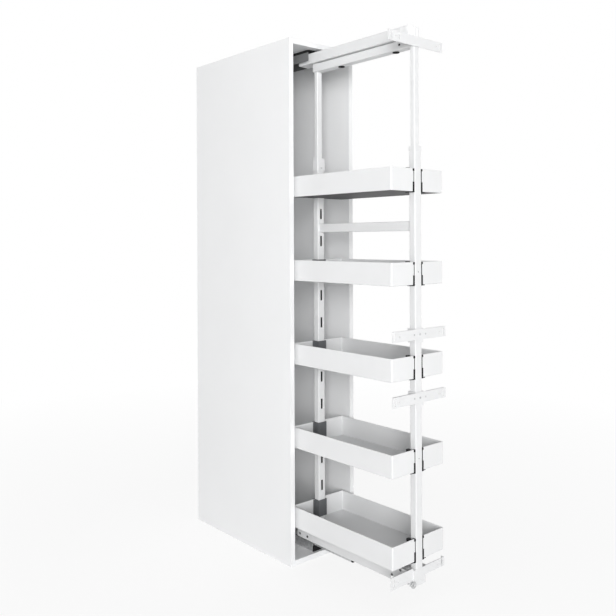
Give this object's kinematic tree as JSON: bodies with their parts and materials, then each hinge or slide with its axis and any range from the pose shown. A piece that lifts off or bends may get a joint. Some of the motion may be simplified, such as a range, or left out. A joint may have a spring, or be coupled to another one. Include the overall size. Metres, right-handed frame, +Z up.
{
  "type": "pull out larder unit",
  "caption": "Tall narrow kitchen carcass with a slide-out telescopic frame carrying hooked steel trays and door brackets, shown fully pulled out.",
  "frame": {"origin": "middle of the carcass underside", "axes": "+Z up, +Y from the door side to the back of the carcass, +X to the right seen from the front"},
  "size_m": [0.3, 1.0265, 1.805],
  "materials": {
    "white_board": "wood particle board with a smooth white melamine face",
    "back_board": "thin fibre board with a smooth white face",
    "beech": "raw beech dowel",
    "dark_zinc": "dark galvanised steel",
    "zinc": "zinc plated steel",
    "frame_white": "white powder coat",
    "tray_white": "white powder coat, satin",
    "cast_white": "white powder coat on die cast metal",
    "light_plastic": "white moulded plastic",
    "roller_plastic": "natural nylon",
    "black_plastic": "black moulded plastic",
    "grey_plastic": "dark grey moulded plastic",
    "black_rubber": "black rubber",
    "bright_steel": "bright steel"
  },
  "bodies": {
    "carcass": {"left_side_panel": "white_board", "right_side_panel": "white_board", "top_panel": "white_board", "bottom_panel": "white_board", "back_panel": "back_board", "panel_dowels": "beech", "top_guide_channel": "zinc", "guide_roller_pins": "zinc", "bottom_fixed_rail": "zinc", "bottom_rail_cap": "black_plastic", "rail_screws": "zinc"},
    "roller_front_left": {"guide_roller_front_left": "roller_plastic"},
    "roller_front_right": {"guide_roller_front_right": "roller_plastic"},
    "roller_rear_left": {"guide_roller_rear_left": "roller_plastic"},
    "roller_rear_right": {"guide_roller_rear_right": "roller_plastic"},
    "outer_ball_train": {"outer_ball_cages": "bright_steel", "outer_balls": "bright_steel"},
    "middle_member": {"bottom_middle_rail": "zinc", "middle_rail_stop": "black_rubber"},
    "inner_ball_train": {"inner_ball_cages": "bright_steel", "inner_balls": "bright_steel"},
    "pull_out_frame": {"bottom_pull_out_rail": "frame_white", "bottom_bracket_casting": "cast_white", "bottom_door_plate": "frame_white", "front_lower_upright": "frame_white", "rear_lower_upright": "frame_white", "front_upper_upright": "frame_white", "rear_upper_upright": "frame_white", "front_collar": "cast_white", "rear_collar": "cast_white", "cross_brace": "frame_white", "frame_top_tube": "frame_white", "top_pull_out_rail": "frame_white", "top_end_block": "light_plastic", "top_door_plate": "frame_white", "top_tube_buffers": "black_rubber", "frame_screws": "dark_zinc", "collar_screws": "zinc"},
    "tilt_cam": {"tilt_adjuster": "zinc"},
    "upper_door_bracket": {"upper_bracket_clamp": "cast_white", "upper_bracket_plate": "frame_white", "upper_bracket_screw": "zinc"},
    "lower_door_bracket": {"lower_bracket_clamp": "cast_white", "lower_bracket_plate": "frame_white", "lower_bracket_screw": "zinc"},
    "tray_1_set": {"tray_1": "tray_white", "front_clip_1": "black_plastic", "rear_clip_1": "grey_plastic"},
    "tray_2_set": {"tray_2": "tray_white", "front_clip_2": "black_plastic", "rear_clip_2": "grey_plastic"},
    "tray_3_set": {"tray_3": "tray_white", "front_clip_3": "black_plastic", "rear_clip_3": "grey_plastic"},
    "tray_4_set": {"tray_4": "tray_white", "front_clip_4": "black_plastic", "rear_clip_4": "grey_plastic"},
    "tray_5_set": {"tray_5": "tray_white", "front_clip_5": "black_plastic", "rear_clip_5": "grey_plastic"}
  },
  "joints": [
    {"name": "larder_slide", "type": "slide", "parent": "carcass", "child": "pull_out_frame", "axis": [0, 1, 0], "range_m": [0, 0.445]},
    {"name": "middle_rail_slide", "type": "slide", "parent": "carcass", "child": "middle_member", "axis": [0, 1, 0], "range_m": [0, 0.2235]},
    {"name": "outer_cage_roll", "type": "slide", "parent": "carcass", "child": "outer_ball_train", "axis": [0, 1, 0], "range_m": [0, 0.11225]},
    {"name": "inner_cage_roll", "type": "slide", "parent": "carcass", "child": "inner_ball_train", "axis": [0, 1, 0], "range_m": [0, 0.33475]},
    {"name": "roller_front_left_spin", "type": "hinge", "parent": "carcass", "child": "roller_front_left", "pos_m": [-0.0303, -0.242, 1.767], "axis": [0, 0, 1], "range_deg": [-5200, 5200]},
    {"name": "roller_front_right_spin", "type": "hinge", "parent": "carcass", "child": "roller_front_right", "pos_m": [0.0303, -0.242, 1.767], "axis": [0, 0, 1], "range_deg": [-5200, 5200]},
    {"name": "roller_rear_left_spin", "type": "hinge", "parent": "carcass", "child": "roller_rear_left", "pos_m": [-0.0303, -0.202, 1.767], "axis": [0, 0, 1], "range_deg": [-5200, 5200]},
    {"name": "roller_rear_right_spin", "type": "hinge", "parent": "carcass", "child": "roller_rear_right", "pos_m": [0.0303, -0.202, 1.767], "axis": [0, 0, 1], "range_deg": [-5200, 5200]},
    {"name": "tilt_cam_turn", "type": "hinge", "parent": "pull_out_frame", "child": "tilt_cam", "pos_m": [-0.033, -0.726, 0.058], "axis": [0, -1, 0], "range_deg": [-90, 90]},
    {"name": "upper_bracket_height", "type": "slide", "parent": "pull_out_frame", "child": "upper_door_bracket", "axis": [0, 0, 1], "range_m": [-0.02, 0.125]},
    {"name": "lower_bracket_height", "type": "slide", "parent": "pull_out_frame", "child": "lower_door_bracket", "axis": [0, 0, 1], "range_m": [-0.115, 0.03]},
    {"name": "tray_1_lift", "type": "slide", "parent": "pull_out_frame", "child": "tray_1_set", "axis": [0, 0, 1], "range_m": [0, 0.01]},
    {"name": "tray_2_lift", "type": "slide", "parent": "pull_out_frame", "child": "tray_2_set", "axis": [0, 0, 1], "range_m": [0, 0.01]},
    {"name": "tray_3_lift", "type": "slide", "parent": "pull_out_frame", "child": "tray_3_set", "axis": [0, 0, 1], "range_m": [0, 0.01]},
    {"name": "tray_4_lift", "type": "slide", "parent": "pull_out_frame", "child": "tray_4_set", "axis": [0, 0, 1], "range_m": [0, 0.01]},
    {"name": "tray_5_lift", "type": "slide", "parent": "pull_out_frame", "child": "tray_5_set", "axis": [0, 0, 1], "range_m": [0, 0.01]}
  ],
  "couplings": [
    {"joint": "middle_rail_slide", "follows": "larder_slide", "ratio": 0.5},
    {"joint": "outer_cage_roll", "follows": "larder_slide", "ratio": 0.25},
    {"joint": "inner_cage_roll", "follows": "larder_slide", "ratio": 0.75},
    {"joint": "roller_front_left_spin", "follows": "larder_slide", "rad_per_m": 200},
    {"joint": "roller_front_right_spin", "follows": "larder_slide", "rad_per_m": -200},
    {"joint": "roller_rear_left_spin", "follows": "larder_slide", "rad_per_m": 200},
    {"joint": "roller_rear_right_spin", "follows": "larder_slide", "rad_per_m": -200}
  ]
}
